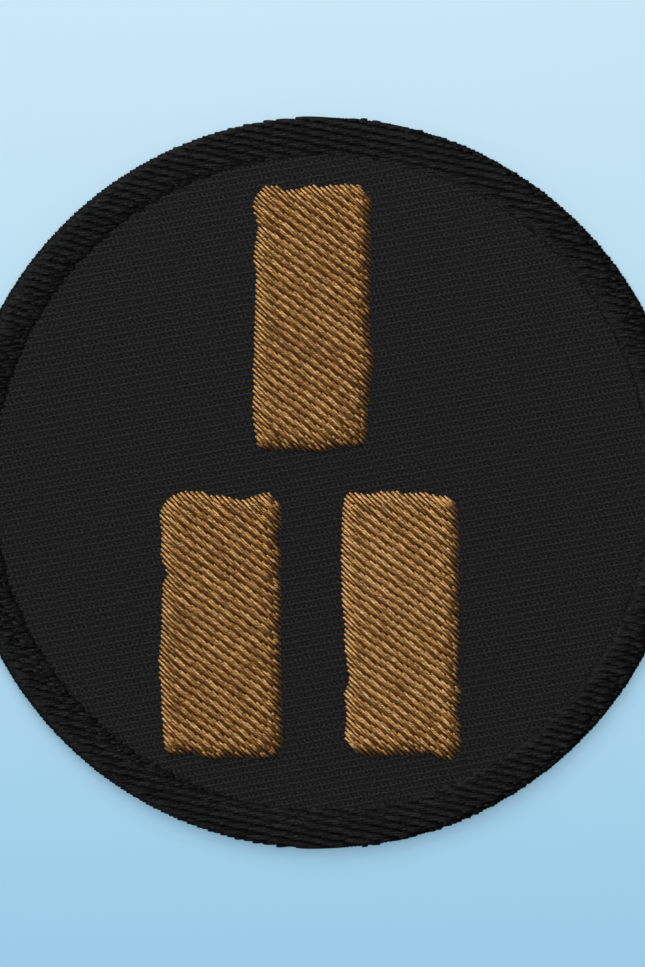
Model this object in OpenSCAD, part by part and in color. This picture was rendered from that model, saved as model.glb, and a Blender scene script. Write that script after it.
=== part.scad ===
// Round embroidered clothing patch, lying face up.
// Origin: middle of the back. +Z out of the front, +Y towards the motif's single upper bar.

/* [Patch] */
// Diameter over the stitched border
patch_d = 76.2; // [60:0.1:100]
// Thickness of the black twill cloth with its stiff finish
cloth_t = 1.2; // [1:0.1:2]

/* [Border] */
// Width of the stitched band, seen from the front
border_w = 4.1; // [3:0.1:6]
// Height of the band's crest over the cloth
border_rise = 0.85; // [0.6:0.05:1.6]
// Thickness of the thread that lies under the cloth's edge
border_under_t = 0.35; // [0.2:0.05:0.6]
// How far that thread reaches in under the cloth
border_under_w = 3.4; // [2:0.1:5]
// Radius of the band's lower outer edge
border_foot_r = 0.8; // [0.4:0.1:1]
// Thread that goes round the cloth's edge
edge_wrap_t = 0.8; // [0.6:0.1:1.2]

/* [Bars] */
// Width of a bar across its threads' ends
bar_w = 12.2; // [10:0.1:14]
// Height of a bar, from its foot to its head
bar_h = 27.6; // [22:0.1:30]
// How far the stitched bars stand over the cloth
bar_rise = 0.8; // [0.4:0.05:1.2]
// Middle of the upper bar, to the right of the patch's middle
upper_x = -0.95; // [-3:0.05:3]
// Middle of the upper bar, above the patch's middle
upper_y = 17.15; // [16:0.05:18.5]
// Middle of the lower left bar, to the right of the patch's middle
left_x = -10.45; // [-12:0.05:-8]
// Middle of the lower left bar, above the patch's middle
left_y = -14.9; // [-15.5:0.05:-14]
// Middle of the lower right bar, to the right of the patch's middle
right_x = 8.25; // [6:0.05:10]
// Middle of the lower right bar, above the patch's middle
right_y = -14.75; // [-15.5:0.05:-14]

/* [Hidden] */

$fn = 180;
edge_gap = 0.05;                          // between the cloth's edge and the thread round it
patch_r = patch_d / 2;
cloth_r = patch_r - edge_wrap_t - edge_gap;
cloth_z = border_under_t;                 // the cloth's back
front_z = cloth_z + cloth_t;              // the cloth's front
dome_step = 12;                           // degrees of arc to each facet of the band
dome_fullness = 0.6;                      // under 1 swells the band's shoulders
inner_r = patch_r - border_w;
side_z = front_z - 0.35;                  // where the band is widest

// How a bar's shoulder rounds over: columns [inset from the outline, height over the cloth]
shoulder = [
  [0.04, 0.00],
  [0.00, 0.30],
  [0.10, 0.52],
  [0.32, 0.68],
  [0.75, 0.77],
  [1.60, 0.80]
];

// The rough edges of each bar, clockwise from the upper left corner.
// Columns [along the edge from its first corner, how far it stands out of the plain rectangle]
upper_head = [
  [0.9, -0.15], [2.0, 0.05], [3.3, -0.55], [4.5, -0.35], [5.9, 0.10],
  [6.8, -0.20], [7.6, 0.05], [9.2, 0.15], [11.0, 0.05], [11.8, -1.00]
];
upper_right_side = [
  [1.7, 0.15], [3.0, -0.05], [12.0, -0.05], [14.5, -0.15], [16.7, 0.00], [17.4, 0.30],
  [18.2, 0.25], [20.2, 0.05], [21.5, -0.20], [24.6, -0.35], [26.5, -0.50], [27.1, -0.90]
];
upper_foot = [
  [2.0, -0.35], [3.1, -0.35], [4.2, 0.00], [5.3, 0.15], [6.7, 0.10],
  [8.1, -0.05], [9.5, 0.05], [11.0, -0.05], [11.6, -0.25]
];
upper_left_side = [
  [1.0, -0.15], [3.5, 0.15], [8.1, 0.10], [14.6, -0.05], [18.4, -0.20], [20.1, 0.10],
  [22.3, -0.20], [23.2, -0.40], [23.6, -0.70], [24.2, -0.15], [25.4, 0.10], [26.5, -0.10]
];

left_head = [
  [0.4, -0.70], [1.1, -0.15], [2.0, 0.20], [4.3, 0.15], [4.7, -0.25], [6.2, -0.20],
  [6.9, -0.45], [8.3, -0.65], [9.3, -0.35], [10.0, -0.10], [11.1, 0.10], [11.7, -0.50]
];
left_right_side = [
  [1.2, 0.15], [3.3, 0.20], [4.2, -0.15], [4.9, -0.35], [5.6, -0.15], [6.6, 0.20], [7.3, 0.25],
  [8.1, -0.05], [10.5, 0.10], [16.2, 0.05], [18.7, 0.20], [25.1, 0.25], [26.4, 0.15], [27.2, -0.25]
];
left_foot = [
  [1.3, 0.00], [2.8, 0.05], [5.5, -0.10], [6.7, 0.20], [7.7, 0.00], [9.0, -0.50],
  [10.9, -0.30], [11.7, -0.45]
];
left_left_side = [
  [1.3, -0.10], [4.3, 0.10], [7.4, 0.25], [10.0, 0.45], [12.4, 0.25], [16.0, 0.10],
  [18.0, 0.00], [18.8, -0.20], [19.4, -0.50], [20.5, 0.10], [22.0, 0.25], [23.4, 0.10],
  [25.5, 0.30], [26.4, 0.05]
];

right_head = [
  [0.2, -0.50], [0.7, 0.05], [2.2, -0.25], [3.7, -0.05], [5.5, 0.15], [6.0, -0.25],
  [8.4, 0.00], [9.9, -0.40], [10.8, -0.40], [11.6, -1.00]
];
right_right_side = [
  [1.7, -0.20], [4.5, -0.10], [5.7, 0.00], [12.2, -0.05], [16.3, 0.05], [19.2, -0.20],
  [20.2, -0.05], [20.9, 0.30], [22.3, -0.10], [23.3, -0.25], [24.2, 0.25], [25.3, -0.05],
  [26.1, 0.30], [27.2, -0.10]
];
right_foot = [
  [0.6, 0.40], [2.0, 0.30], [2.9, -0.20], [3.5, -0.40], [5.5, -0.10], [6.5, -0.20],
  [7.7, 0.10], [9.0, -0.10], [10.2, -0.20], [11.1, -0.60]
];
right_left_side = [
  [1.2, -0.70], [1.8, -0.30], [3.0, -0.25], [4.1, -0.40], [6.7, -0.20], [7.7, -0.60],
  [8.3, -0.70], [9.6, -0.50], [11.1, -0.25], [13.9, -0.20], [16.5, 0.10], [19.2, 0.15],
  [22.9, 0.10], [26.3, -0.05]
];

function head_points(rows) = [for (r = rows) [r[0] - bar_w / 2, bar_h / 2 + r[1]]];
function right_points(rows) = [for (r = rows) [bar_w / 2 + r[1], bar_h / 2 - r[0]]];
function foot_points(rows) = [for (r = rows) [bar_w / 2 - r[0], -bar_h / 2 - r[1]]];
function left_points(rows) = [for (r = rows) [-bar_w / 2 - r[1], r[0] - bar_h / 2]];
function bar_outline(head, right_side, foot, left_side) = concat(
  head_points(head), right_points(right_side), foot_points(foot), left_points(left_side)
);

// One ring of the shoulder: the outline drawn in towards the bar's middle, at its height
function ring(outline, row) = [for (p = outline) [
  p[0] * (1 - row[0] / (bar_w / 2)),
  p[1] * (1 - row[0] / (bar_h / 2)),
  row[1] * bar_rise / shoulder[len(shoulder) - 1][1]
]];

// A closed solid through the shoulder's rings, flat below and on top
module stitched_bar(outline, middle) {
  count = len(outline);
  last = len(shoulder) - 1;
  points = [for (row = shoulder) each ring(outline, row)];
  sides = [for (level = [0 : last - 1], i = [0 : count - 1]) let (
    a = level * count + i,
    b = level * count + (i + 1) % count
  ) [a, b, b + count, a + count]];
  base = [for (i = [count - 1 : -1 : 0]) i];
  top = [for (i = [0 : count - 1]) last * count + i];
  translate([middle[0], middle[1], front_z])
    polyhedron(points = points, faces = concat([base], sides, [top]), convexity = 6);
}

// Section of the stitched band, from the slot's inner corner over the crest and back underneath
function dome_arc() = [for (a = [180 : -dome_step : 0]) let (
  low = a > 90 ? front_z : side_z
) [
  patch_r - border_w / 2 + border_w / 2 * sign(cos(a)) * pow(abs(cos(a)), dome_fullness),
  low + (front_z + border_rise - low) * pow(sin(a), dome_fullness)
]];
function foot_arc() = [for (a = [0 : -15 : -90]) [
  patch_r - border_foot_r + border_foot_r * cos(a),
  border_foot_r + border_foot_r * sin(a)
]];

module twill_ground() {
  color([0.11, 0.11, 0.12])
    translate([0, 0, cloth_z])
      cylinder(h = cloth_t, r = cloth_r);
}

module stitched_border() {
  slot_r = cloth_r + edge_gap;
  color([0.05, 0.05, 0.05])
    rotate_extrude()
      polygon(concat(
        dome_arc(),
        foot_arc(),
        [
          [patch_r - border_under_w, 0],
          [patch_r - border_under_w, cloth_z],
          [slot_r, cloth_z],
          [slot_r, front_z]
        ]
      ));
}

module upper_bar() {
  color([0.65, 0.47, 0.26])
    stitched_bar(
      bar_outline(upper_head, upper_right_side, upper_foot, upper_left_side),
      [upper_x, upper_y]
    );
}

module lower_left_bar() {
  color([0.65, 0.47, 0.26])
    stitched_bar(
      bar_outline(left_head, left_right_side, left_foot, left_left_side),
      [left_x, left_y]
    );
}

module lower_right_bar() {
  color([0.65, 0.47, 0.26])
    stitched_bar(
      bar_outline(right_head, right_right_side, right_foot, right_left_side),
      [right_x, right_y]
    );
}

twill_ground();
stitched_border();
upper_bar();
lower_left_bar();
lower_right_bar();
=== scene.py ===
import math
import random

import bmesh
import bpy
import numpy as np
from mathutils import Matrix, Vector


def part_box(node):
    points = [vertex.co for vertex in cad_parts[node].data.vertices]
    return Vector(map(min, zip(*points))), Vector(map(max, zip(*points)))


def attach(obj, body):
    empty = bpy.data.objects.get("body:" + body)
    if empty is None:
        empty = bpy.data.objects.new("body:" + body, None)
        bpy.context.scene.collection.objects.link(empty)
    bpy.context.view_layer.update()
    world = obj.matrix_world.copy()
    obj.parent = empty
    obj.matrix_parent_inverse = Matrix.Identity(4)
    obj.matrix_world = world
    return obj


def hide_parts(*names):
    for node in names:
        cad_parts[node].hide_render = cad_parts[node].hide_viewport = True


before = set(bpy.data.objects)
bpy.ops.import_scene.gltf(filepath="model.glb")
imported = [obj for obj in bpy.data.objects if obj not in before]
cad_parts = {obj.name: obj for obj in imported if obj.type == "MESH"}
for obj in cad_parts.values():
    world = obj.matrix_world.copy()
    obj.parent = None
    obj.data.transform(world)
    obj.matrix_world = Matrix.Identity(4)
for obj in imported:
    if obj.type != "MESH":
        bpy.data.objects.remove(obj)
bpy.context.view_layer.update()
mm = 0.001
turn = 2 * math.pi
weld = 0.002            # points nearer than this many millimetres are one

# Sizes that every piece shares, read from the frame, in millimetres
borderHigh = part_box("stitched_border")[1]
clothLow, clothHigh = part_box("twill_ground")
rimRadius = borderHigh.x / mm
crestZ = borderHigh.z / mm
frontZ = clothHigh.z / mm
backZ = clothLow.z / mm
clothRadius = clothHigh.x / mm
print("frame loaded, patch is %.1f mm across" % (2 * rimRadius))

# Camera: straight above the patch, as in the photograph
photo = {
    "width": 645,
    "height": 967,
    "patchX": 322.0,        # middle of the patch's outline, in pixels
    "patchY": 482.8,
    "patchRadius": 365.95,
}
cameraSet = {"lens": 200.0, "sensor": 36.0, "nearest": 0.01, "farthest": 20.0}


def addCamera():
    metresPerPixel = rimRadius * mm / photo["patchRadius"]
    sideways = (photo["width"] / 2 - photo["patchX"]) * metresPerPixel
    upwards = (photo["patchY"] - photo["height"] / 2) * metresPerPixel
    distance = cameraSet["lens"] / cameraSet["sensor"] * photo["height"] * metresPerPixel
    data = bpy.data.cameras.new("photoCamera")
    data.lens = cameraSet["lens"]
    data.sensor_width = cameraSet["sensor"]
    data.clip_start = cameraSet["nearest"]
    data.clip_end = cameraSet["farthest"]
    camera = bpy.data.objects.new("photoCamera", data)
    camera.location = (sideways, upwards, frontZ * mm + distance)
    bpy.context.scene.collection.objects.link(camera)
    bpy.context.scene.camera = camera


addCamera()
print("camera placed")

# Helpers for materials and pieces


def setInputs(node, values):
    for name, value in values.items():
        node.inputs[name].default_value = value


def addNode(tree, kind, values=None, **settings):
    made = tree.nodes.new(kind)
    for name, value in settings.items():
        setattr(made, name, value)
    setInputs(made, values or {})
    return made


def newMaterial(name):
    material = bpy.data.materials.new(name)
    material.use_nodes = True
    tree = material.node_tree
    tree.nodes.clear()
    shader = addNode(tree, "ShaderNodeBsdfPrincipled")
    output = addNode(tree, "ShaderNodeOutputMaterial")
    tree.links.new(shader.outputs["BSDF"], output.inputs["Surface"])
    return material, tree, shader


def newGroup(name, inputs, outputs):
    # a group of plain values: inputs as {name: default}, outputs as names
    tree = bpy.data.node_groups.new(name, "ShaderNodeTree")
    for label, value in inputs.items():
        socket = tree.interface.new_socket(label, in_out="INPUT", socket_type="NodeSocketFloat")
        socket.default_value = value
    for label in outputs:
        tree.interface.new_socket(label, in_out="OUTPUT", socket_type="NodeSocketFloat")
    return tree, tree.nodes.new("NodeGroupInput"), tree.nodes.new("NodeGroupOutput")


def mathNode(tree, operation, first, second=None, third=None):
    made = addNode(tree, "ShaderNodeMath", operation=operation)
    for index, value in enumerate((first, second, third)):
        if value is None:
            continue
        if isinstance(value, (int, float)):
            made.inputs[index].default_value = value
        else:
            tree.links.new(value, made.inputs[index])
    return made.outputs[0]


def objectPlace(tree):
    return addNode(tree, "ShaderNodeTexCoord").outputs["Object"]


def addNoise(tree, place, scale, detail, roughness=0.5):
    noise = addNode(tree, "ShaderNodeTexNoise", {"Scale": scale, "Detail": detail, "Roughness": roughness})
    tree.links.new(place, noise.inputs["Vector"])
    return noise.outputs["Fac"]


def colourRamp(tree, factor, stops):
    ramp = addNode(tree, "ShaderNodeValToRGB")
    elements = ramp.color_ramp.elements
    while len(elements) < len(stops):
        elements.new(0.5)
    for element, (place, colour) in zip(elements, stops):
        element.position = place
        element.color = (*colour, 1)
    tree.links.new(factor, ramp.inputs["Fac"])
    return ramp.outputs["Color"]


def greys(stops):
    return [(place, (level, level, level)) for place, level in stops]


def addBump(tree, shader, height, strength, depth):
    bump = addNode(tree, "ShaderNodeBump", {"Strength": strength, "Distance": depth * mm})
    tree.links.new(height, bump.inputs["Height"])
    tree.links.new(bump.outputs["Normal"], shader.inputs["Normal"])


def finishPiece(name, bm, material, nodes):
    mesh = bpy.data.meshes.new(name)
    bm.to_mesh(mesh)
    bm.free()
    mesh.materials.append(material)
    piece = bpy.data.objects.new(name, mesh)
    bpy.context.scene.collection.objects.link(piece)
    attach(piece, "root")
    if nodes:
        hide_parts(*nodes)
    return piece


# Twisted thread. The UV map "thread" runs along the thread in millimetres and once round it; the
# map "stitch" holds how far along its own stitch a place is, and how bright its thread is
threadSet = {
    "twistPitch": 0.9,      # millimetres to a turn of the twist
    "plies": 2,
    "fibreAlong": 1.4,
    "fibreRound": 8.0,
    "fibreLean": 0.9,       # turns round the thread to a millimetre
    "fibreDetail": 3.0,
    "grainScale": 4200.0,
    "grainDetail": 2.0,
    "baseShade": 0.35,
    "plyShade": 0.2,
    "crestPower": 6.0,
    "crestMean": 0.5,
    "bumpDepth": 0.03,
}


def threadGroup():
    tree, inside, outside = newGroup(
        "twistedThread",
        {"Fibre Amount": 0.5, "Streaks": 1.0, "Grain": 1.0, "Crest Painted Light": 0.0, "Stitch Variation": 0.2},
        ["Height", "Shade", "Along"],
    )
    maps = []
    for mapName in ("thread", "stitch"):
        place = addNode(tree, "ShaderNodeUVMap", uv_map=mapName)
        parts = addNode(tree, "ShaderNodeSeparateXYZ")
        tree.links.new(place.outputs["UV"], parts.inputs[0])
        maps.append((parts.outputs["X"], parts.outputs["Y"]))
    (along, around), (stitchAlong, brightness) = maps
    # the plies of the twist
    phase = mathNode(tree, "MULTIPLY", along, turn / threadSet["twistPitch"])
    phase = mathNode(tree, "MULTIPLY_ADD", around, turn * threadSet["plies"], phase)
    ply = mathNode(tree, "ABSOLUTE", mathNode(tree, "SINE", mathNode(tree, "MULTIPLY", phase, 0.5)))
    # fibres that lean round the thread
    lean = addNode(tree, "ShaderNodeCombineXYZ")
    tree.links.new(along, lean.inputs["X"])
    tree.links.new(mathNode(tree, "MULTIPLY_ADD", along, threadSet["fibreLean"], around), lean.inputs["Y"])
    scale = (threadSet["fibreAlong"], threadSet["fibreRound"], 1)
    stretch = addNode(tree, "ShaderNodeMapping", {"Scale": scale})
    tree.links.new(lean.outputs[0], stretch.inputs["Vector"])
    fibre = addNoise(tree, stretch.outputs[0], 1.0, threadSet["fibreDetail"])
    mixed = mathNode(tree, "MULTIPLY", fibre, inside.outputs["Fibre Amount"])
    tree.links.new(mathNode(tree, "ADD", ply, mixed), outside.inputs["Height"])
    # painted highlight on the thread's crest and painted shade on its flanks, which lie in the gaps
    # between rows
    crest = mathNode(tree, "SINE", mathNode(tree, "MULTIPLY", around, turn))
    crest = mathNode(tree, "POWER", mathNode(tree, "MAXIMUM", crest, 0.0), threadSet["crestPower"])
    grain = addNoise(tree, objectPlace(tree), threadSet["grainScale"], threadSet["grainDetail"])
    # the plies' ridges and the fibres' streaks are painted lighter: partly the thread's own tone, partly
    # painted highlight
    shade = mathNode(tree, "MULTIPLY_ADD", ply, threadSet["plyShade"], threadSet["baseShade"])
    for value, middle, label in (
        (fibre, 0.5, "Streaks"),
        (grain, 0.5, "Grain"),
        (crest, threadSet["crestMean"], "Crest Painted Light"),
        (brightness, 0.5, "Stitch Variation"),
    ):
        off = mathNode(tree, "SUBTRACT", value, middle)
        shade = mathNode(tree, "MULTIPLY_ADD", off, inside.outputs[label], shade)
    tree.links.new(shade, outside.inputs["Shade"])
    tree.links.new(stitchAlong, outside.inputs["Along"])
    return tree


twistedThread = threadGroup()


def threadMaterial(name, look):
    material, tree, shader = newMaterial(name)
    thread = addNode(tree, "ShaderNodeGroup", node_tree=twistedThread)
    setInputs(thread, look["thread"])
    colour = colourRamp(tree, thread.outputs["Shade"], look["stops"])
    # painted shade: the tail of each stitch, where it sinks to the cloth, is painted darker than its
    # raised part
    paintedTailShade = colourRamp(tree, thread.outputs["Along"], look["paintedTailShade"])
    mixed = addNode(tree, "ShaderNodeMix", {"Factor": 1}, data_type="RGBA", blend_type="MULTIPLY")
    tree.links.new(colour, mixed.inputs[6])     # 6, 7 and 2 are the node's colour sockets
    tree.links.new(paintedTailShade, mixed.inputs[7])
    tree.links.new(mixed.outputs[2], shader.inputs["Base Color"])
    addBump(tree, shader, thread.outputs["Height"], look["bump"], threadSet["bumpDepth"])
    setInputs(shader, look["finish"])
    return material


goldThread = threadMaterial("goldThread", {
    # the palest stops give the painted highlights their whitish colour
    "stops": [
        (0.05, (0.098, 0.0355, 0.003)), (0.5, (0.395, 0.174, 0.026)),
        (0.72, (0.67, 0.346, 0.09)), (0.95, (0.9, 0.54, 0.25)),
    ],
    # painted shade along each stitch, darkest at its tail
    "paintedTailShade": [
        (0, (0.8, 0.8, 0.8)), (0.3, (1, 1, 1)), (0.5, (0.54, 0.51, 0.43)),
        (0.64, (0.23, 0.197, 0.125)), (1, (0.235, 0.202, 0.13)),
    ],
    "thread": {
        "Fibre Amount": 1.0, "Streaks": 3.0, "Grain": 1.0, "Crest Painted Light": 0.32, "Stitch Variation": 0.3,
    },
    "bump": 0.5,
    "finish": {
        "Roughness": 0.4, "Specular IOR Level": 0.3,
        "Sheen Weight": 0.1, "Sheen Roughness": 0.4, "Sheen Tint": (1.0, 0.8, 0.55, 1),
    },
})
blackThread = threadMaterial("blackThread", {
    "stops": greys([(0.1, 0.0068), (0.5, 0.0165), (0.9, 0.034)]),
    # painted shade along each stitch, darkest at its tail
    "paintedTailShade": greys([(0, 0.8), (0.3, 1), (0.5, 0.6), (0.64, 0.38), (1, 0.34)]),
    "thread": {
        "Fibre Amount": 1.0, "Streaks": 1.6, "Grain": 1.3, "Crest Painted Light": 0.0, "Stitch Variation": 0.2,
    },
    "bump": 0.4,
    "finish": {"Roughness": 0.6, "Specular IOR Level": 0.0},
})

# Padding: rough thread of one colour, seen only between the stitches, coloured darker than the thread as
# painted shade in the gaps
paddingSet = {
    "gold": (0.12, 0.055, 0.016),
    "black": (0.003, 0.003, 0.003),
    "paintedHollowShade": 0.6,       # the hollows' colour, painted shade, as a share of the padding's own
    "grainScale": 5000.0,
    "grainDetail": 3.0,
    "bump": 0.5,
    "bumpDepth": 0.04,
    "roughness": 0.8,
}


def paddingMaterial(name, colour):
    material, tree, shader = newMaterial(name)
    grain = addNoise(tree, objectPlace(tree), paddingSet["grainScale"], paddingSet["grainDetail"])
    dark = tuple(part * paddingSet["paintedHollowShade"] for part in colour)
    # the grain's low, hollow places are painted darker as shade
    tree.links.new(colourRamp(tree, grain, [(0.3, dark), (0.7, colour)]), shader.inputs["Base Color"])
    addBump(tree, shader, grain, paddingSet["bump"], paddingSet["bumpDepth"])
    setInputs(shader, {"Roughness": paddingSet["roughness"]})
    return material


goldPadding = paddingMaterial("goldPadding", paddingSet["gold"])
blackPadding = paddingMaterial("blackPadding", paddingSet["black"])
print("thread materials made")

# Twill: the cloth's pattern repeats by two steps, to the next tooth of a rib and to the next rib
weave = {
    "toothStep": (0.494, 0.089),
    "ribStep": (0.228, -0.627),
    "wanderScale": 600.0,
    "grainScale": 5200.0,
    "grainRoughness": 0.7,
    "noiseDetail": 2.0,
    "baseShade": 0.4,
    "reliefPaintedLight": 0.33,
    "bumpDepth": 0.05,
}
# What lies between one rib and the next: columns [place, sharpness, height, height that alternates along
# the rib]. The heights also set the colour: painted highlight on the rib's line, painted shade in the dark
# line and the holes
weaveBands = [
    [0.03, 20, 1.5, 0.0],       # the rib's bright line
    [0.40, 6, -0.25, 0.1],      # the dark line below it
    [0.75, 7, -0.3, 1.6],       # knots and holes in turn
]


def weaveCounts():
    # per millimetre, how the two counts grow: the inverse of the two steps
    (ax, ay), (bx, by) = weave["toothStep"], weave["ribStep"]
    area = ax * by - ay * bx
    return (by / area, -bx / area), (-ay / area, ax / area)


toothCount, ribCount = weaveCounts()


def weaveGroup():
    tree, inside, outside = newGroup("twillWeave", {"Wander": 0.1, "Grain": 0.5}, ["Height", "Shade"])
    place = objectPlace(tree)
    drift = addNoise(tree, place, weave["wanderScale"], weave["noiseDetail"])
    sway = mathNode(tree, "MULTIPLY", mathNode(tree, "SUBTRACT", drift, 0.5), inside.outputs["Wander"])
    counts = []
    for count in (toothCount, ribCount):
        dot = addNode(tree, "ShaderNodeVectorMath", operation="DOT_PRODUCT")
        tree.links.new(place, dot.inputs[0])
        dot.inputs[1].default_value = (count[0] / mm, count[1] / mm, 0)
        counts.append(mathNode(tree, "MULTIPLY", mathNode(tree, "ADD", dot.outputs["Value"], sway), turn))
    tooth = mathNode(tree, "COSINE", counts[0])
    total = 0.0
    for bandPlace, sharpness, height, alternating in weaveBands:
        near = mathNode(tree, "COSINE", mathNode(tree, "SUBTRACT", counts[1], turn * bandPlace))
        near = mathNode(tree, "POWER", mathNode(tree, "MULTIPLY_ADD", near, 0.5, 0.5), sharpness)
        level = mathNode(tree, "MULTIPLY_ADD", tooth, alternating, height)
        total = mathNode(tree, "MULTIPLY_ADD", near, level, total)
    tree.links.new(total, outside.inputs["Height"])
    grain = addNoise(tree, place, weave["grainScale"], weave["noiseDetail"], weave["grainRoughness"])
    off = mathNode(tree, "SUBTRACT", grain, 0.5)
    grainy = mathNode(tree, "MULTIPLY_ADD", off, inside.outputs["Grain"], total)
    # painted light: the weave's height, with its grain, sets how light its colour is
    shade = mathNode(tree, "MULTIPLY_ADD", grainy, weave["reliefPaintedLight"], weave["baseShade"])
    tree.links.new(shade, outside.inputs["Shade"])
    return tree


twillWeave = weaveGroup()


def twillMaterial(name, look):
    material, tree, shader = newMaterial(name)
    cloth = addNode(tree, "ShaderNodeGroup", node_tree=twillWeave)
    setInputs(cloth, look["weave"])
    colour = colourRamp(tree, cloth.outputs["Shade"], look["stops"])
    tree.links.new(colour, shader.inputs["Base Color"])
    addBump(tree, shader, cloth.outputs["Height"], look["bump"], weave["bumpDepth"])
    setInputs(shader, look["finish"])
    return material


blackTwill = twillMaterial("blackTwill", {
    "stops": greys([(0.05, 0.0025), (0.4, 0.0078), (0.8, 0.019), (1, 0.027)]),
    "weave": {"Wander": 0.12, "Grain": 8.5},
    "bump": 0.3,
    "finish": {"Roughness": 0.8, "Specular IOR Level": 0.1},
})
print("twill material made")

# Cloth: a round of twill whose front has its ribs and teeth as real relief
clothSet = {
    "reliefRadius": 34.6,   # the border hides the cloth past this
    "relief": 0.02,         # height of a rib for each unit of the weave's bands
    "level": 1,             # bands of this height lie level with the cloth's front
    "bluntness": 2,         # the relief's bands are no sharper than this
    "rimFade": 0.3,         # the relief flattens over this width before it ends
    "toothCuts": 2,         # grid squares to each tooth
    "ribCuts": 4,           # grid squares to each rib
}


def weaveHeight(x, y):
    tooth = math.cos(turn * (x * toothCount[0] + y * toothCount[1]))
    rib = x * ribCount[0] + y * ribCount[1]
    total = 0
    for place, sharpness, height, alternating in weaveBands:
        near = 0.5 + 0.5 * math.cos(turn * (rib - place))
        total += near ** min(sharpness, clothSet["bluntness"]) * (height + alternating * tooth)
    return total


def makeCloth():
    reliefRadius = clothSet["reliefRadius"]
    toothHalf = math.ceil(math.hypot(*toothCount) * reliefRadius * clothSet["toothCuts"]) + 1
    ribHalf = math.ceil(math.hypot(*ribCount) * reliefRadius * clothSet["ribCuts"]) + 1
    bm = bmesh.new()
    bmesh.ops.create_grid(bm, x_segments=2 * toothHalf, y_segments=2 * ribHalf, size=1)
    toothReach = [toothHalf / clothSet["toothCuts"] * part for part in weave["toothStep"]]
    ribReach = [ribHalf / clothSet["ribCuts"] * part for part in weave["ribStep"]]
    skew = Matrix((
        (toothReach[0], ribReach[0], 0, 0),
        (toothReach[1], ribReach[1], 0, 0),
        (0, 0, 1, 0),
        (0, 0, 0, 1),
    ))
    bmesh.ops.transform(bm, matrix=skew, verts=bm.verts)
    outside = [f for f in bm.faces if all(v.co.xy.length > reliefRadius for v in f.verts)]
    bmesh.ops.delete(bm, geom=outside, context="FACES")
    for vert in bm.verts:
        if vert.co.xy.length > reliefRadius:
            vert.co.xy = vert.co.xy.normalized() * reliefRadius
        fade = min(1, (reliefRadius - vert.co.xy.length) / clothSet["rimFade"])
        height = weaveHeight(vert.co.x, vert.co.y) - clothSet["level"]
        vert.co.z = clothSet["relief"] * height * fade
    bmesh.ops.remove_doubles(bm, verts=bm.verts, dist=weld)
    # from the relief's rim outwards, down the cut edge and closed across the back
    rim = [e for e in bm.edges if e.is_boundary]
    for height in (0, backZ - frontZ):
        grown = bmesh.ops.extrude_edge_only(bm, edges=rim)["geom"]
        for vert in (g for g in grown if isinstance(g, bmesh.types.BMVert)):
            vert.co.xy = vert.co.xy.normalized() * clothRadius
            vert.co.z = height
        rim = [g for g in grown if isinstance(g, bmesh.types.BMEdge) and g.is_boundary]
    bmesh.ops.holes_fill(bm, edges=rim, sides=0)
    bmesh.ops.recalc_face_normals(bm, faces=bm.faces)
    for face in bm.faces:
        face.smooth = len(face.verts) <= 4
    bmesh.ops.scale(bm, vec=(mm, mm, mm), verts=bm.verts)
    bmesh.ops.translate(bm, vec=(0, 0, frontZ * mm), verts=bm.verts)
    return finishPiece("twillCloth", bm, blackTwill, ["twill_ground"])


twillCloth = makeCloth()
print("twill cloth made, %d faces" % len(twillCloth.data.polygons))

# Stitches: one blank is copied for each stitch, then laid along its row
stitchBlank = {"sides": 6, "rings": 8}


def makeBlank():
    bm = bmesh.new()
    bmesh.ops.create_cone(
        bm, cap_ends=True, segments=stitchBlank["sides"], radius1=0.5, radius2=0.5, depth=1,
        matrix=Matrix.Rotation(math.pi / 2, 4, "Y"),
    )
    long = [e for e in bm.edges if abs(e.verts[0].co.x - e.verts[1].co.x) > 0.5]
    bmesh.ops.subdivide_edges(bm, edges=long, cuts=stitchBlank["rings"] - 1, use_grid_fill=True)
    for mapName in ("thread", "stitch"):
        bm.loops.layers.uv.new(mapName)
    threadMap = bm.loops.layers.uv["thread"]
    stitchMap = bm.loops.layers.uv["stitch"]
    for face in bm.faces:
        face.smooth = len(face.verts) == 4
        rounds = [math.atan2(loop.vert.co.z, loop.vert.co.y) / turn % 1 for loop in face.loops]
        crosses = max(rounds) - min(rounds) > 0.5
        for loop, part in zip(face.loops, rounds):
            loop[threadMap].uv = (loop.vert.co.x + 0.5, part + (1 if crosses and part < 0.5 else 0))
            loop[stitchMap].uv = (loop.vert.co.x + 0.5, 0)
    bmesh.ops.recalc_face_normals(bm, faces=bm.faces)
    mesh = bpy.data.meshes.new("stitchBlank")
    bm.to_mesh(mesh)
    bm.free()
    return mesh


blankMesh = makeBlank()

# Fill stitch, the same for the bars and the border
rowSet = {
    "pairStep": 1 / 2,          # needle places step on by this share of a stitch for each pair of rows
    "rowStep": 1 / 3,           # and by this within a pair
    "shortestRow": 0.6,         # shorter rows are left out
    "edgeSpread": (0.7, 1.2),   # how much the short last stitches differ
    "edgeLeaves": 0.5,          # the least that one leaves of the stitch before it
}


def rowBreaks(start, end, fill, row, rng):
    # needle places of one row: its two ends and the places of the pattern between them
    length = fill["stitchLength"]
    phase = (row // 2 * rowSet["pairStep"] + row % 2 * rowSet["rowStep"]) * length * fill["lean"]
    place = phase + math.ceil((start + fill["shortest"] - phase) / length) * length
    breaks = [start]
    while place < end - fill["shortest"]:
        breaks.append(place + rng.uniform(-1, 1) * fill["needleJitter"])
        place += length
    # a short last stitch turns down over the edge
    turned = end - fill["edgeStitch"] * rng.uniform(*rowSet["edgeSpread"])
    if turned > breaks[-1] + rowSet["edgeLeaves"] and rng.random() < fill["edgeShare"]:
        breaks.append(turned)
    breaks.append(end)
    return breaks


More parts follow.
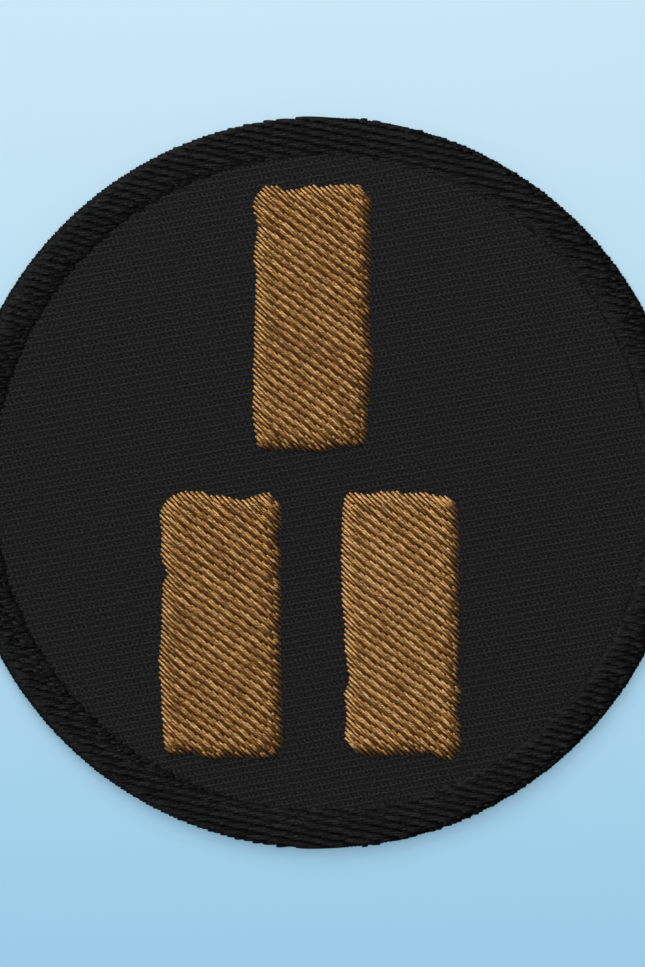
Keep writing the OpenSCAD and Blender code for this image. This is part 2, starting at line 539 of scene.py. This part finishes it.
def fillRows(fill, first, last, spansOf, rng):
    # stitches as rows [x, y of the start, x, y of the end, what is left of the row, what is
    # behind] in millimetres; neighbouring rows share their needle place at each edge, because
    # the thread turns back there
    heading = math.radians(fill["heading"])
    along = Vector((math.cos(heading), math.sin(heading)))
    across = Vector((-along.y, along.x))
    pitch = fill["rowPitch"]
    stitches = []
    for row in range(first, last + 1):
        side = fill["pairing"] * pitch * (1 if row % 2 == 0 else -1)
        for start, end in spansOf(row * pitch):
            start += rng.uniform(-1, 1) * fill["endJitter"]
            end += rng.uniform(-1, 1) * fill["endJitter"]
            if end - start < rowSet["shortestRow"]:
                continue
            breaks = rowBreaks(start, end, fill, row, rng)
            slip = row * pitch + rng.uniform(-1, 1) * fill["slip"]
            for place, after in zip(breaks, breaks[1:]):
                near = slip + (side if place == start else 0)
                far = slip - (side if after == end else 0)
                a = along * place + across * near
                b = along * after + across * far
                stitches.append([a.x, a.y, b.x, b.y, end - after, place - start])
    return stitches


# How a thread lies in its stitch
layingSet = {
    "leastDip": 0.15,       # the share of its dips that the shortest stitch keeps
    "headPower": 6,         # a thread thins only close to its start
    "tailPower": 4,         # and to its end
    "edgeShadeFrom": 0.3,      # painted shade: a thread that turns down is painted darker from this place of its tail-shade colours
    "edgeShadeBy": 0.33,       # by this much
    "apart": 40,            # millimetres of thread over which the stitches' twist is spread
}


def bendStitches(mesh, rows, thread, surface):
    # a stitch comes up steeply at its start and sinks slowly to its end
    startX, startY, endX, endY = rows[:4]
    places = np.empty(len(mesh.vertices) * 3)
    mesh.vertices.foreach_get("co", places)
    places = places.reshape(len(startX), -1, 3)
    part = places[:, :, 0] + 0.5
    dx = endX - startX
    dy = endY - startY
    length = np.hypot(dx, dy)
    peak = thread["peak"]
    before = np.clip(1 - part / peak, 0, 1)
    beyond = np.clip((part - peak) / (1 - peak), 0, 1)
    scale = np.clip(length / thread["fullLength"], layingSet["leastDip"], 1)
    dip = -scale * (thread["riseDip"] * before ** 2 + thread["tailDip"] * beyond ** thread["tailPower"])
    taper = 1 - thread["headTaper"] * before ** layingSet["headPower"]
    taper -= thread["tailTaper"] * beyond ** layingSet["tailPower"]
    aside = places[:, :, 1] * thread["width"] * taper
    rise = places[:, :, 2] * thread["height"] * taper
    x = startX + dx * part - dy / length * aside
    y = startY + dy * part + dx / length * aside
    laid = surface(x.ravel(), y.ravel(), dip.ravel(), rise.ravel())
    mesh.vertices.foreach_set("co", (laid * mm).ravel())
    return part, length


def markStitches(mesh, rows, thread, part, length, shine):
    # painted highlight and painted shade: a thread is painted bright at its row's start, and towards its
    # row's end, where it turns down over the edge, it is painted as dark as its tail's painted shade
    ahead, behind = rows[4:]
    count = len(ahead)
    cornerOf = np.empty(len(mesh.loops), int)
    mesh.loops.foreach_get("vertex_index", cornerOf)

    def atCorners(values):
        return values.ravel()[cornerOf].reshape(count, -1)

    # painted highlight near the row's start
    startHighlight = atCorners(np.clip(1 - (behind + length * part) / thread["startHighlight"], 0, 1))
    # painted shade near the row's end
    turned = atCorners(np.clip(1 - (ahead + length * (1 - part)) / thread["turned"], 0, 1))
    paintedEdgeShade = np.where(turned > 0, layingSet["edgeShadeFrom"] + layingSet["edgeShadeBy"] * turned ** 2, 0)
    least = np.maximum(paintedEdgeShade, np.where(behind == 0, thread["peak"], 0))
    # each stitch has a twist and a brightness of its own
    spread = np.random.default_rng(count).random(count)[:, None]
    for mapName in ("thread", "stitch"):
        layer = mesh.uv_layers[mapName].data
        spots = np.empty(len(mesh.loops) * 2)
        layer.foreach_get("uv", spots)
        spots = spots.reshape(count, -1, 2)
        if mapName == "thread":
            spots[:, :, 0] = spots[:, :, 0] * length + spread * layingSet["apart"]
        else:
            spots[:, :, 0] = np.maximum(spots[:, :, 0], least)
            # each stitch's own random tone, its bar's tone and the painted highlight at the row's start
            spots[:, :, 1] = spread + shine + thread["startHighlightAmount"] * startHighlight
        layer.foreach_set("uv", spots.ravel())


def layStitches(stitches, thread, surface, shine=0):
    # surface turns places seen from above, and how far the thread lies over them, into points
    bm = bmesh.new()
    for _ in stitches:
        bm.from_mesh(blankMesh)
    mesh = bpy.data.meshes.new("laid")
    bm.to_mesh(mesh)
    bm.free()
    rows = np.array(stitches).T[:, :, None]
    part, length = bendStitches(mesh, rows, thread, surface)
    markStitches(mesh, rows, thread, part, length, shine)
    mesh.update()
    bm = bmesh.new()
    bm.from_mesh(mesh)
    bpy.data.meshes.remove(mesh)
    return bm


# Bars: gold fill stitch, over a padding of the bar's own form
barSet = {
    "heading": -45,         # rows run down to the right
    "lean": 1,              # each row's stitches start further along than those of the row before
    "rowPitch": 0.2,
    "stitchLength": 4.0,
    "shortest": 1.0,
    "needleJitter": 0.09,
    "endJitter": 0.1,
    "slip": 0.018,
    "pairing": 0.45,        # how far, in rows, a row's ends lean towards its neighbour's
    "edgeStitch": 0.95,     # length of the short last stitch of a row
    "edgeShare": 0.2,       # how many rows have one
    "shoulder": 1.1,        # over this distance from its edge a bar rises to its full height
    "shoulderPower": 2.1,
    "sunk": 0.12,           # how deep the threads' ends go into the cloth
    "dimples": 14,
    "dimpleSize": 0.45,
    "dimpleDepth": 0.22,
    "dimpleSpread": (0.4, 1),
    "padding": 0.25,        # height of the padding, as a share of the bar's
    "paddingInset": 1.8,
    "notch": 0.9,           # rows bridge gaps in the outline up to this length
}
# fresh and startHighlightAmount set the painted highlight at a row's start, turned sets the reach of the
# painted shade at its end
barThread = {
    "width": 0.255, "height": 0.34, "peak": 0.28, "fullLength": 3.2, "riseDip": 0.17,
    "tailDip": 0.4, "tailPower": 1.4, "headTaper": 0.1, "tailTaper": 0.3, "turned": 2.6,
    "startHighlight": 0.7, "startHighlightAmount": 0.75,
}
# The bars: columns [node, name of its pieces, how much brighter its thread is, seed]
bars = [
    ["upper_bar", "upperBar", -0.1, 11],
    ["lower_left_bar", "lowerLeftBar", 0.0, 12],
    ["lower_right_bar", "lowerRightBar", 0.26, 13],
]


def mergedCopy(nodeName):
    bm = bmesh.new()
    bm.from_mesh(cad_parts[nodeName].data)
    bmesh.ops.remove_doubles(bm, verts=bm.verts, dist=weld * mm)
    return bm


def footOutline(nodeName):
    # the corners of the bar's foot in order, in millimetres
    bm = mergedCopy(nodeName)
    low = min(v.co.z for v in bm.verts)
    onFoot = {v for v in bm.verts if v.co.z < low + weld * mm}
    rimEdges = [
        e for e in bm.edges
        if e.verts[0] in onFoot and e.verts[1] in onFoot
        and any(any(v not in onFoot for v in f.verts) for f in e.link_faces)
    ]
    outline = [rimEdges[0].verts[0]]
    previous = None
    while True:
        here = outline[-1]
        step = next(e for e in rimEdges if here in e.verts and e is not previous)
        previous = step
        after = step.other_vert(here)
        if after is outline[0]:
            break
        outline.append(after)
    points = np.array([v.co.xy[:] for v in outline]) / mm
    bm.free()
    return points


def edgeDistance(outline, x, y):
    # how far each place lies inside the outline; 0 on it and outside
    steps = np.roll(outline, -1, axis=0) - outline
    best = np.full(x.shape, np.inf)
    crossings = np.zeros(x.shape, int)
    for (sx, sy), (dx, dy) in zip(outline, steps):
        part = np.clip(((x - sx) * dx + (y - sy) * dy) / (dx * dx + dy * dy), 0, 1)
        best = np.minimum(best, np.hypot(x - sx - part * dx, y - sy - part * dy))
        spans = (sy > y) != (sy + dy > y)
        with np.errstate(divide="ignore", invalid="ignore"):
            crossings += spans & (x < sx + (y - sy) * dx / dy)
    return np.where(crossings % 2 == 1, best, 0)


def rowSpans(lengths, places):
    # where a row lies inside the outline, as [start, end], from how far along the row and beside
    # it each of the outline's corners is
    hits = []
    for index in range(len(places)):
        after = (index + 1) % len(places)
        if (places[index] > 0) != (places[after] > 0):
            part = places[index] / (places[index] - places[after])
            hits.append(lengths[index] + part * (lengths[after] - lengths[index]))
    hits.sort()
    spans = []
    for start, end in zip(hits[::2], hits[1::2]):
        # a thread runs straight across a small notch
        if spans and start - spans[-1][1] < barSet["notch"]:
            spans[-1][1] = end
        else:
            spans.append([start, end])
    return spans


def makeBarStitches(nodeName, pieceName, shine, seed):
    low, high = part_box(nodeName)
    outline = footOutline(nodeName)
    fullRise = high.z / mm - frontZ - barThread["height"] / 2
    rng = np.random.default_rng(seed)
    dimples = np.column_stack([
        rng.uniform(low.x / mm, high.x / mm, barSet["dimples"]),
        rng.uniform(low.y / mm, high.y / mm, barSet["dimples"]),
        rng.uniform(*barSet["dimpleSpread"], barSet["dimples"]),
    ])

    def surface(x, y, dip, rise):
        inside = np.clip(edgeDistance(outline, x, y) / barSet["shoulder"], 0, 1)
        power = barSet["shoulderPower"]
        height = frontZ + fullRise * (1 - (1 - inside) ** power) ** (1 / power) + dip + rise
        for dimpleX, dimpleY, depth in dimples:
            away = ((x - dimpleX) ** 2 + (y - dimpleY) ** 2) / barSet["dimpleSize"] ** 2
            height -= barSet["dimpleDepth"] * depth * np.exp(-away)
        height = np.maximum(height, frontZ - barSet["sunk"])
        return np.stack([x, y, height], axis=1)

    heading = math.radians(barSet["heading"])
    lengths = outline @ np.array([math.cos(heading), math.sin(heading)])
    offsets = outline @ np.array([-math.sin(heading), math.cos(heading)])
    pitch = barSet["rowPitch"]
    stitches = fillRows(
        barSet, math.ceil(offsets.min() / pitch), math.floor(offsets.max() / pitch),
        lambda offset: rowSpans(lengths, offsets - offset), random.Random(seed),
    )
    bm = layStitches(stitches, barThread, surface, shine)
    finishPiece(pieceName + "Stitches", bm, goldThread, [nodeName])
    return len(stitches)


def makeBarPadding(nodeName, pieceName):
    # the padding under the stitches keeps the bar's form, a little smaller
    low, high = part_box(nodeName)
    middle = (low + high) / 2
    size = high - low
    inset = barSet["paddingInset"] * mm
    bm = mergedCopy(nodeName)
    bmesh.ops.translate(bm, vec=(-middle.x, -middle.y, -frontZ * mm), verts=bm.verts)
    bmesh.ops.scale(bm, vec=(1 - inset / size.x, 1 - inset / size.y, barSet["padding"]), verts=bm.verts)
    bmesh.ops.translate(bm, vec=(middle.x, middle.y, frontZ * mm), verts=bm.verts)
    finishPiece(pieceName + "Padding", bm, goldPadding, [])


for nodeName, pieceName, shine, seed in bars:
    print(pieceName, "has", makeBarStitches(nodeName, pieceName, shine, seed), "stitches")
    makeBarPadding(nodeName, pieceName)

# Border: black fill stitch in level rows, folded over the cloth's edge
borderSet = {
    "width": 4.1,
    "fullness": 0.6,        # under 1 swells the band's outer shoulder
    "innerFullness": 1.7,   # over 1 lets its inner side rise gently from the cloth
    "sideDrop": 0.35,       # from the cloth's front down to where the band is widest
    "sectionSteps": 60,
    "footRadius": 0.8,      # of the band's lower outer edge
    "underWidth": 3.4,      # how far it reaches in below the cloth
    "heading": 0,
    "lean": -1,
    "rowPitch": 0.2,
    "stitchLength": 4.0,
    "shortest": 1.3,
    "needleJitter": 0.13,
    "endJitter": 0.04,
    "innerJitter": (-0.2, 0.2 / 3),     # how far rows end beside the band's inner edge
    "overRim": 0.16,        # rows end this far beyond the band's widest level
    "slip": 0.012,
    "pairing": 0.15,
    "edgeStitch": 0.9,
    "edgeShare": 0.5,
    "clothFade": 0.8,       # over this width from the inner edge the threads rise to their full relief
    "clothDip": 0.15,       # the share of their dips that they have at the edge
    "clothRise": 0.4,       # and of their thickness
    "rimFade": 0.5,         # the same at the rim
    "rimLift": 0.4,
    "seed": 5,
}
# fresh and startHighlightAmount set the painted highlight at a row's start, turned sets the reach of the
# painted shade at its end
borderThread = {
    "width": 0.34, "height": 0.32, "peak": 0.28, "fullLength": 3.2, "riseDip": 0.15,
    "tailDip": 0.5, "tailPower": 1.4, "headTaper": 0.15, "tailTaper": 0.2, "turned": 1.9,
    "startHighlight": 0.8, "startHighlightAmount": 0.15,
}
coreSet = {
    "inset": 0.45,          # how far the core lies under the stitches
    "floor": 0.15,          # height of its underside
    "slotGap": 0.05,        # between the cloth's edge and the core
    "sides": 180,
}


def borderProfile(inset):
    # the band's section from its inner foot over the crest to its widest level, drawn in by inset
    outer = rimRadius - inset
    inner = rimRadius - borderSet["width"] + inset
    middle = (outer + inner) / 2
    half = (outer - inner) / 2
    top = crestZ - inset
    steps = borderSet["sectionSteps"]
    points = []
    for step in range(steps + 1):
        angle = math.pi * (1 - step / steps)
        onInside = step < steps / 2
        low = frontZ if onInside else frontZ - borderSet["sideDrop"]
        fullness = borderSet["innerFullness"] if onInside else borderSet["fullness"]
        cosine = 0 if step == steps / 2 else math.cos(angle)
        across = math.copysign(abs(cosine) ** fullness, cosine)
        up = max(0, math.sin(angle)) ** fullness
        points.append((middle + half * across, low + (top - low) * up))
    return np.array(points)


def sectionMap(points):
    # distance along a section from its highest point, with its points and unit slopes
    steps = np.hypot(*np.diff(points, axis=0).T)
    run = np.concatenate([[0], np.cumsum(steps)])
    run -= run[np.argmax(points[:, 1])]
    slopes = np.gradient(points, run, axis=0)
    slopes /= np.linalg.norm(slopes, axis=1)[:, None]
    return run, points, slopes


def onSection(section, place, lift):
    # radius and height of a place along the section, lifted square to it
    run, points, slopes = section
    radius = np.interp(place, run, points[:, 0]) - np.interp(place, run, slopes[:, 1]) * lift
    height = np.interp(place, run, points[:, 1]) + np.interp(place, run, slopes[:, 0]) * lift
    return radius, height


def bandSpans(inner, outer, level):
    # the stretches of a level row that lie in the band
    if abs(level) >= outer:
        return []
    reach = math.sqrt(outer ** 2 - level ** 2)
    if abs(level) >= inner:
        return [[-reach, reach]]
    gap = math.sqrt(inner ** 2 - level ** 2)
    return [[-reach, -gap], [gap, reach]]


def makeBorder():
    section = sectionMap(borderProfile(borderThread["height"] / 2))
    run, points = section[:2]
    inner = points[0, 0]
    outer = points[-1, 0]
    reach = outer + borderSet["overRim"]
    rows = math.floor(reach / borderSet["rowPitch"])
    rng = random.Random(borderSet["seed"])

    def fadeIn(share, part):
        return share + (1 - share) * part

    def surface(x, y, dip, rise):
        # rows keep their places as seen from above, and flatten at both of the band's edges
        flat = np.hypot(x, y)
        fromRim = np.clip((outer - flat) / borderSet["rimFade"], 0, 1)
        fromCloth = np.clip((flat - inner) / borderSet["clothFade"], 0, 1)
        lift = dip * fadeIn(borderSet["clothDip"], fromCloth)
        lift += rise * fadeIn(borderSet["clothRise"], fromCloth)
        lift *= fadeIn(borderSet["rimLift"], fromRim)
        radius, height = onSection(section, np.interp(flat, points[:, 0], run), lift)
        radius += np.maximum(flat - outer, 0) + np.minimum(flat - inner, 0)
        return np.stack([x / flat * radius, y / flat * radius, height], axis=1)

    stitches = fillRows(
        borderSet, -rows, rows,
        lambda level: bandSpans(inner + rng.uniform(*borderSet["innerJitter"]), reach, level), rng,
    )
    bm = layStitches(stitches, borderThread, surface)
    finishPiece("borderStitches", bm, blackThread, ["stitched_border"])
    return len(stitches)


def makeBorderCore():
    # the core that the border's stitches cover, spun from its section
    slotWall = clothRadius + coreSet["slotGap"]
    underInner = rimRadius - borderSet["underWidth"]
    section = [
        *borderProfile(coreSet["inset"]),
        (rimRadius - coreSet["inset"], borderSet["footRadius"]),
        (rimRadius - borderSet["footRadius"], coreSet["floor"]),
        (underInner, coreSet["floor"]),
        (underInner, backZ),
        (slotWall, backZ),
        (slotWall, frontZ),
    ]
    bm = bmesh.new()
    verts = [bm.verts.new((r * mm, 0, z * mm)) for r, z in section]
    edges = [bm.edges.new((a, b)) for a, b in zip(verts, verts[1:] + verts[:1])]
    bmesh.ops.spin(
        bm, geom=verts + edges, cent=(0, 0, 0), axis=(0, 0, 1), dvec=(0, 0, 0),
        angle=turn, steps=coreSet["sides"], use_merge=True, use_duplicate=False,
    )
    bmesh.ops.remove_doubles(bm, verts=bm.verts, dist=weld * mm)
    bmesh.ops.recalc_face_normals(bm, faces=bm.faces)
    for face in bm.faces:
        face.smooth = True
    finishPiece("borderCore", bm, blackPadding, [])


print("border has", makeBorder(), "stitches")
makeBorderCore()

# Edge wrap: threads side by side from under the border's rim down and in below the cloth
wrapSet = {
    "count": 590,
    "proud": 0.06,          # how far the wrap stands out of the patch's radius
    "topDrop": 0.1,         # from the cloth's front down to where it starts
    "overFoot": 0.15,       # how far above the foot's arc its side ends
    "footSteps": 6,
    "inside": 0.02,         # how far outside the border's inner edge below the cloth it ends
    "placeJitter": 0.03,
    "endJitter": 0.25,
    "lean": 0.35,           # how far round the rim a thread's end lies from its start
    "seed": 8,
}
wrapThread = {
    "width": 0.44, "height": 0.24, "peak": 0.5, "fullLength": 3.0, "riseDip": 0.08,
    "tailDip": 0.05, "tailPower": 4, "headTaper": 0.3, "tailTaper": 0.5, "turned": 1,
    "startHighlight": 1, "startHighlightAmount": 0,
}


def wrapProfile():
    # the section from under the rim round the foot to the inner edge below the cloth
    half = wrapThread["height"] / 2
    outer = rimRadius + wrapSet["proud"] - half
    foot = borderSet["footRadius"] - half
    points = [
        (outer, frontZ - wrapSet["topDrop"]),
        (outer, borderSet["footRadius"] + wrapSet["overFoot"]),
    ]
    for step in range(wrapSet["footSteps"] + 1):
        angle = -math.pi / 2 * step / wrapSet["footSteps"]
        points.append((outer - foot + foot * math.cos(angle), half + foot + foot * math.sin(angle)))
    points.append((rimRadius - borderSet["underWidth"] + wrapSet["inside"], half))
    return np.array(points)


def makeWrap():
    section = sectionMap(wrapProfile())
    run = section[0]
    rng = random.Random(wrapSet["seed"])

    def surface(x, y, dip, rise):
        # x runs along the section and y round the rim
        radius, height = onSection(section, np.clip(x, run[0], run[-1]), dip + rise)
        return np.stack([radius * np.cos(y / rimRadius), radius * np.sin(y / rimRadius), height], axis=1)

    stitches = []
    for index in range(wrapSet["count"]):
        jitter = rng.uniform(-wrapSet["placeJitter"], wrapSet["placeJitter"])
        place = turn * rimRadius * index / wrapSet["count"] + jitter
        inner = run[-1] - rng.uniform(0, wrapSet["endJitter"])
        # these threads have no row, so its two ends are put out of reach
        stitches.append([run[0], place, inner, place + wrapSet["lean"], rimRadius, rimRadius])
    bm = layStitches(stitches, wrapThread, surface)
    finishPiece("edgeWrap", bm, blackThread, [])


makeWrap()
print("border core and edge wrap made")

# Floor: a plain pale sweep, lighter towards the top as in the photograph
floorSet = {
    "radius": 3.0,
    "sides": 64,
    "near": (0.331, 0.612, 0.82),
    "middle": (0.452, 0.702, 0.862),
    "far": (0.545, 0.745, 0.855),
    "glow": 0.4,            # share of the floor's light that it gives out itself: painted light that keeps shadows pale
    "glowStrength": 1.05,
    "roughness": 0.9,
    "reach": 0.05,          # metres from the middle to each end of the colours
}


def makeFloor():
    bm = bmesh.new()
    bmesh.ops.create_circle(bm, cap_ends=True, segments=floorSet["sides"], radius=floorSet["radius"])
    mesh = bpy.data.meshes.new("floor")
    bm.to_mesh(mesh)
    bm.free()
    material, tree, shader = newMaterial("paleFloor")
    parts = addNode(tree, "ShaderNodeSeparateXYZ")
    tree.links.new(objectPlace(tree), parts.inputs[0])
    part = mathNode(tree, "MULTIPLY_ADD", parts.outputs["Y"], 0.5 / floorSet["reach"], 0.5)
    # painted light: part of the floor's colour is emission
    for share, target in ((1 - floorSet["glow"], "Base Color"), (floorSet["glow"], "Emission Color")):
        stops = [
            (stop, tuple(level * share for level in floorSet[name]))
            for stop, name in ((0, "near"), (0.5, "middle"), (1, "far"))
        ]
        tree.links.new(colourRamp(tree, part, stops), shader.inputs[target])
    setInputs(shader, {"Emission Strength": floorSet["glowStrength"], "Roughness": floorSet["roughness"]})
    mesh.materials.append(material)
    floor = bpy.data.objects.new("floor", mesh)
    bpy.context.scene.collection.objects.link(floor)


makeFloor()

# Lights: a soft key from above the patch's top, a wide one overhead, and pale light all round
lightSet = {
    "distance": 0.4,
    "azimuth": 102,         # degrees, 90 is the top of the picture
    "elevation": 47,
    "size": 0.25,
    "power": 0.68,
    "topPlace": (-0.02, 0.18, 0.75),
    "topSize": 0.8,
    "topPower": 3.6,
    "world": 0.24,
    "worldColour": (0.92, 0.96, 1.0),
}


def addLight(name, place, size, power):
    data = bpy.data.lights.new(name, "AREA")
    data.shape = "DISK"
    data.size = size
    data.energy = power
    light = bpy.data.objects.new(name, data)
    light.location = place
    light.rotation_euler = place.to_track_quat("Z", "Y").to_euler()
    bpy.context.scene.collection.objects.link(light)


def addLights():
    around = math.radians(lightSet["azimuth"])
    up = math.radians(lightSet["elevation"])
    toLight = Vector((math.cos(around) * math.cos(up), math.sin(around) * math.cos(up), math.sin(up)))
    addLight("key", toLight * lightSet["distance"], lightSet["size"], lightSet["power"])
    addLight("top", Vector(lightSet["topPlace"]), lightSet["topSize"], lightSet["topPower"])
    world = bpy.data.worlds.new("studio")
    world.use_nodes = True
    sky = world.node_tree.nodes["Background"]
    sky.inputs["Color"].default_value = (*lightSet["worldColour"], 1)
    sky.inputs["Strength"].default_value = lightSet["world"]
    bpy.context.scene.world = world
    bpy.context.scene.view_settings.view_transform = "Standard"


addLights()
print("floor and lights made")

bpy.data.meshes.remove(blankMesh)
